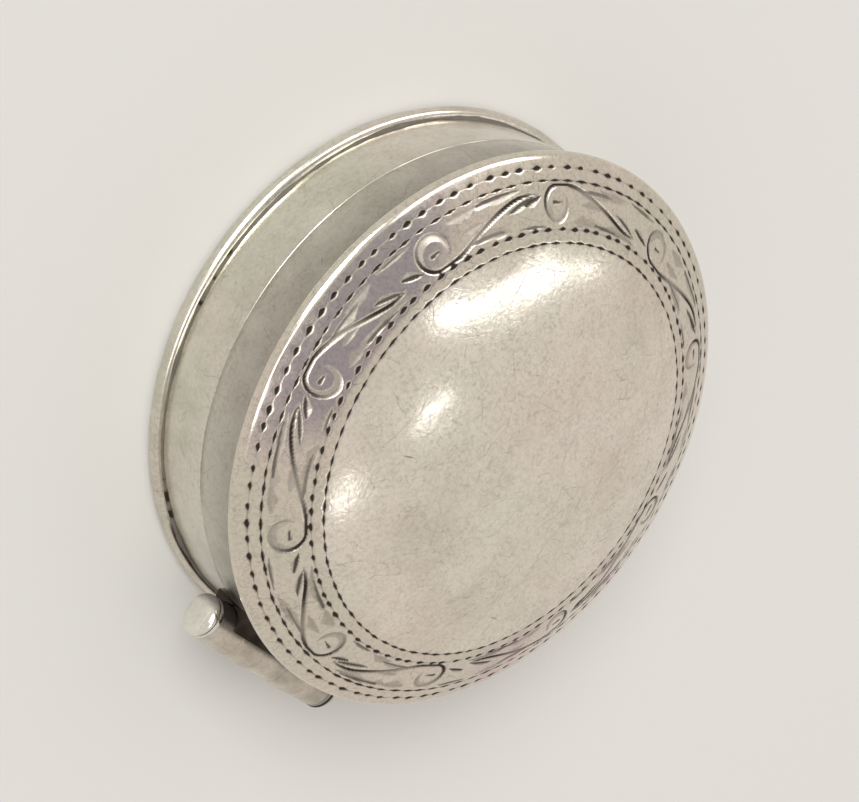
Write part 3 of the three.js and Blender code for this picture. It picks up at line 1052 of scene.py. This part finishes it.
def bearer_section(x, side):
    """The outline of a hinge bearer at x: along the barrel's hollow, then back to the band in a
    hollow curve."""
    wall = math.sqrt(BAND_RADIUS**2 - x * x) - 0.03
    start = max(wall, HINGE_Y - BARREL_HOLLOW_RADIUS)
    section = []
    for share in np.linspace(0, 1, 9):
        y = start + (BEARER_REACH - start) * share
        section.append((y, math.sqrt(max(BARREL_HOLLOW_RADIUS**2 - (HINGE_Y - y) ** 2, 0.03**2))))
    for share in np.linspace(0, 1, 7):
        y = BEARER_REACH + (wall - BEARER_REACH) * share
        section.append((y, BEARER_LIP + (BEARER_DEPTH - BEARER_LIP) * share**2))
    section.append((wall, (section[0][1] + BEARER_DEPTH) / 2))
    return np.array([(x, y, HINGE_Z + side * up) for y, up in section])


BEARER_END_SCALE = 0.9


def make_bearer(node, side, material, seed):
    """The strip between a band and the barrel, above the seam if side is 1 or below it if -1."""
    half = BEARER_HALF_LENGTH
    between = np.linspace(-half + 0.2, half - 0.2, 40)
    stations = [-half, -half + 0.05, *between, half - 0.05, half]
    rings = [bearer_section(x, side) for x in stations]
    for ring in (rings[0], rings[-1]):
        middle = ring.mean(0)
        ring[:, 1:] = middle[1:] + (ring[:, 1:] - middle[1:]) * BEARER_END_SCALE
    points, faces = ring_stack(rings, rings[0].mean(0), rings[-1].mean(0))
    dirt_and_shade = soft_step(0.55 + 0.5 * noise(points, 0.8, seed))
    # Almost black: painted shade in the gap between the barrel and the band, with some tarnish
    replace_node(node, points, faces, material, "hinge_silver", grime=0.95 + 0.05 * dirt_and_shade)


# ---- Camera, lights and floor ----

CAMERA_AIM = (2.76, 0.24, 5.92)
CAMERA_DISTANCE = 103.24
CAMERA_AZIMUTH = 95.49
CAMERA_ELEVATION = 44.30
CAMERA_ROLL = 123.55
CAMERA_LENS = 76.55


def direction(azimuth, elevation):
    """Unit vector towards an azimuth, 0 in front and 90 on the right, and an elevation."""
    a, e = math.radians(azimuth), math.radians(elevation)
    return Vector((math.sin(a) * math.cos(e), -math.cos(a) * math.cos(e), math.sin(e)))


def make_camera():
    """The box was seen standing on its edge, so the camera is rolled to see it lying flat."""
    data = bpy.data.cameras.new("camera")
    data.lens = CAMERA_LENS
    data.clip_start = 0.005
    camera = bpy.data.objects.new("camera", data)
    bpy.context.scene.collection.objects.link(camera)
    back = direction(CAMERA_AZIMUTH, CAMERA_ELEVATION)
    camera.location = (Vector(CAMERA_AIM) + back * CAMERA_DISTANCE) * MM
    level = (-back).to_track_quat("-Z", "Y").to_matrix()
    camera.rotation_euler = (level @ Matrix.Rotation(math.radians(CAMERA_ROLL), 3, "Z")).to_euler()
    bpy.context.scene.camera = camera


def upper_direction(x, y):
    """The unit vector above the floor with these x and y."""
    return Vector((x, y, math.sqrt(1 - x * x - y * y)))


def make_light(name, start, end, width, radiance, distance=500, on_floor=False):
    """A soft rectangular light that faces the box, long enough to reach from the direction start to
    the direction end. Its width is a share of its distance. Lights that are only there for the
    silver to mirror don't light the floor."""
    first, last = (upper_direction(*place) * distance for place in (start, end))
    outward = (first + last).normalized()
    along = (last - first).normalized()
    data = bpy.data.lights.new(name, "AREA")
    data.shape = "RECTANGLE"
    data.size = (last - first).length * MM
    data.size_y = width * distance * MM
    data.energy = radiance * math.pi * data.size * data.size_y
    light = bpy.data.objects.new(name, data)
    bpy.context.scene.collection.objects.link(light)
    light.location = (first + last) / 2 * MM
    light.rotation_euler = Matrix((along, outward.cross(along), outward)).transposed().to_euler()
    light.visible_diffuse = on_floor


SKY = (0.74, 0.70, 0.65, 1)
DIM_SKY = (0.40, 0.37, 0.425, 1)

# The middle of the dim patch of sky and half its width each way, as parts of a unit vector
DIM_MIDDLE = (0.06, -0.08, 0)
DIM_WIDTH, DIM_DEPTH = 0.19, 0.52


def make_world():
    """Soft even light, dimmer in a patch straight above the box."""
    world = bpy.data.worlds.new("studio")
    bpy.context.scene.world = world
    world.use_nodes = True
    tree = world.node_tree
    place = add(tree, "ShaderNodeTexCoord").outputs["Generated"]
    offset = vector_maths(tree, "SUBTRACT", place, DIM_MIDDLE)
    scaled = vector_maths(tree, "MULTIPLY", offset, (1 / DIM_WIDTH, 1 / DIM_DEPTH, 0))
    away = add(tree, "ShaderNodeVectorMath", {0: scaled}, operation="LENGTH").outputs["Value"]
    height = add(tree, "ShaderNodeSeparateXYZ", {0: place}).outputs["Z"]
    above = ramp(tree, height, 0, 0.3)
    dim = maths(tree, "MULTIPLY", ramp(tree, away, 0.65, 1.15, 1, 0), above)
    sky = mixed_colour(tree, dim, SKY, DIM_SKY)
    tree.links.new(sky, tree.nodes["Background"].inputs["Color"])


PAPER_COLOUR = (0.725, 0.727, 0.705, 1)
FLOOR_SIZE = 3000


def make_floor():
    """A plain pale floor, so wide that no edge shows from any side."""
    material = bpy.data.materials.new("floor_paper")
    material.use_nodes = True
    shader = material.node_tree.nodes["Principled BSDF"]
    shader.inputs["Base Color"].default_value = PAPER_COLOUR
    shader.inputs["Roughness"].default_value = 0.9
    shader.inputs["Specular IOR Level"].default_value = 0.2
    mesh = bpy.data.meshes.new("floor")
    corners = circle(FLOOR_SIZE, 0, 64)
    mesh.from_pydata(corners * MM, [], [tuple(range(len(corners)))])
    mesh.materials.append(material)
    floor = bpy.data.objects.new("floor", mesh)
    bpy.context.scene.collection.objects.link(floor)


# ---- Putting it together ----

make_camera()
make_world()
make_light("key_light", (0.74, -0.46), (0.79, 0.04), width=0.4, radiance=9.0, distance=2600, on_floor=True)
make_light("big_window", (0.38, -0.48), (-0.08, -0.86), width=0.34, radiance=3.2)
make_light("ceiling_light", (0.24, 0.42), (0.62, -0.25), width=0.22, radiance=3.2)
make_light("window_light", (-0.30, -0.205), (-0.50, -0.435), width=0.042, radiance=3.0)
make_light("window_edge", (-0.49, -0.425), (-0.60, -0.48), width=0.018, radiance=2.4)
make_light("lamp_middle", (-0.425, 0.035), (-0.435, -0.085), width=0.018, radiance=3.4)
make_light("lamp_far", (-0.42, 0.29), (-0.395, 0.205), width=0.025, radiance=3.4)
make_floor()

# Scratches on the cover are seen from above, so the planes that cut them stand nearly upright
UPRIGHT = (1, 1, 0.05)
cover_silver = silver("cover_silver", (0.875, 0.825, 0.755), (0.75, 0.69, 0.61), 0.13, UPRIGHT, seed=2)
# The bands and the floor plate get a darker copy of the same silver: partly tarnish, partly painted shade for the
# darker surroundings that the walls and rims reflect
band_silver = silver("band_silver", (0.765, 0.73, 0.66), (0.61, 0.58, 0.51), 0.2, wear=0.8, seed=5)
collar_silver = silver("collar_silver", (0.90, 0.87, 0.81), (0.84, 0.80, 0.74), 0.2, wear=0.6, seed=8)
hinge_silver = silver("hinge_silver", (0.72, 0.675, 0.60), (0.50, 0.445, 0.37), 0.24, wear=0.8, seed=11)
bead_silver = silver("bead_silver", (0.88, 0.865, 0.82), (0.76, 0.74, 0.69), 0.12, wear=0.5, seed=23)
solder_silver = silver("solder_silver", (0.80, 0.76, 0.69), (0.62, 0.57, 0.49), 0.35, wear=0.8, seed=14)
pin_metal = silver("pin_metal", (0.72, 0.66, 0.50), (0.55, 0.49, 0.36), 0.4, wear=0.8, seed=17)

make_cover(cover_silver)
make_band("lid_band", 0.04, 0.05, rim_shade=0.44, material=band_silver, seed=51)
make_band("base_band", 0.05, 0.10, rim_shade=0, material=band_silver, seed=61)
make_plate(band_silver)
make_collar(collar_silver)
make_solder("base_solder", "base", RIM_THICKNESS, 1, width=0.13, dirt_and_shade=0.8, material=solder_silver, seed=71)
make_solder("lid_solder", "lid", LID_RIM_BOTTOM, -1, width=0.22, dirt_and_shade=0.85, material=solder_silver, seed=81)
for index, knuckle in enumerate(KNUCKLES):
    make_knuckle(knuckle, hinge_silver, seed=91 + 2 * index)
make_cap("hinge_cap_right", 1, dirt_and_shade=0, material=bead_silver, seed=111)
# The far cap is darker: painted shade
make_cap("hinge_cap_left", -1, dirt_and_shade=0.5, material=bead_silver, seed=113)
make_bearer("lid_hinge_bearer", 1, hinge_silver, seed=121)
make_bearer("base_hinge_bearer", -1, hinge_silver, seed=123)

pin = frame["nodes"]["hinge_pin"]
for slot in pin.material_slots:
    slot.material = pin_metal

bpy.context.scene.view_settings.view_transform = "Standard"
